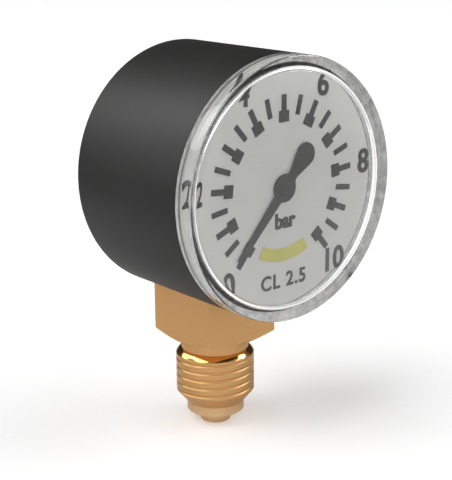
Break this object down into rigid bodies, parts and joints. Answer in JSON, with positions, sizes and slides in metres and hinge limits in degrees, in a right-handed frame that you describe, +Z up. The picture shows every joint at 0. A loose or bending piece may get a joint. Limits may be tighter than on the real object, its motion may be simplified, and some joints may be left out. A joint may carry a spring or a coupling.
{
  "type": "pressure gauge",
  "caption": "Bourdon tube pressure gauge: round black case, clear window, dial with pointer, brass bottom connection with male thread, and the geared movement inside.",
  "frame": {"origin": "on the axis of the bottom connection, in its sealing face", "axes": "+Z up along the connection's axis towards the dial; the dial faces -Y; +X to the dial's right"},
  "size_m": [0.0402, 0.028, 0.0627],
  "materials": {
    "case_plastic": "satin black moulded plastic",
    "window_plastic": "clear moulded plastic",
    "dial_face": "pale grey enamel with printed scale",
    "pointer_paint": "matt dark grey",
    "connection_brass": "turned and milled",
    "movement_brass": "stamped, bright",
    "tube_bronze": "drawn, bright",
    "steel": "bright turned"
  },
  "bodies": {
    "gauge_body": {"case": "case_plastic", "window": "window_plastic", "dial": "dial_face", "socket": "connection_brass", "restrictor": "movement_brass", "bourdon_tube": "tube_bronze", "front_plate": "movement_brass", "back_plate": "movement_brass", "pillar_left": "movement_brass", "pillar_right": "movement_brass", "pillar_top": "movement_brass", "pillar_screw_left": "steel", "pillar_screw_right": "steel", "pillar_screw_top": "steel", "carrier_screw_left": "steel", "carrier_screw_right": "steel", "hairspring": "tube_bronze", "hairspring_stud": "movement_brass", "case_screw_left": "steel", "case_screw_right": "steel"},
    "pointer": {"pointer_needle": "pointer_paint", "pointer_bush": "pointer_paint", "pinion_arbor": "steel", "hairspring_collet": "movement_brass"},
    "sector": {"sector_gear": "movement_brass", "sector_shaft": "steel"},
    "tube_tip": {"tube_end_piece": "connection_brass", "tip_link_pin": "steel"},
    "link": {"link": "movement_brass", "sector_link_pin": "steel"}
  },
  "joints": [
    {"name": "pointer_turn", "type": "hinge", "parent": "gauge_body", "child": "pointer", "pos_m": [0, 0, 0.0406], "axis": [0, 1, 0], "range_deg": [-2.5, 277.5], "stiffness_Nm_per_rad": 0.0005, "deforming": ["hairspring"]},
    {"name": "sector_swing", "type": "hinge", "parent": "gauge_body", "child": "sector", "pos_m": [0.0051, 0, 0.03177], "axis": [0, 1, 0], "range_deg": [-37, 0.34]},
    {"name": "tip_swing", "type": "hinge", "parent": "gauge_body", "child": "tube_tip", "pos_m": [-0.0052, 0, 0.0436], "axis": [0, 1, 0], "range_deg": [-8.24, 0.08], "deforming": ["bourdon_tube"]},
    {"name": "link_turn", "type": "hinge", "parent": "tube_tip", "child": "link", "pos_m": [0.0104, 0, 0.038], "axis": [0, 1, 0], "range_deg": [-0.12, 12.5]}
  ],
  "couplings": [
    {"joint": "sector_swing", "follows": "pointer_turn", "ratio": -0.13333},
    {"joint": "tip_swing", "follows": "pointer_turn", "ratio": -0.02969},
    {"joint": "link_turn", "follows": "pointer_turn", "ratio": 0.04504}
  ]
}
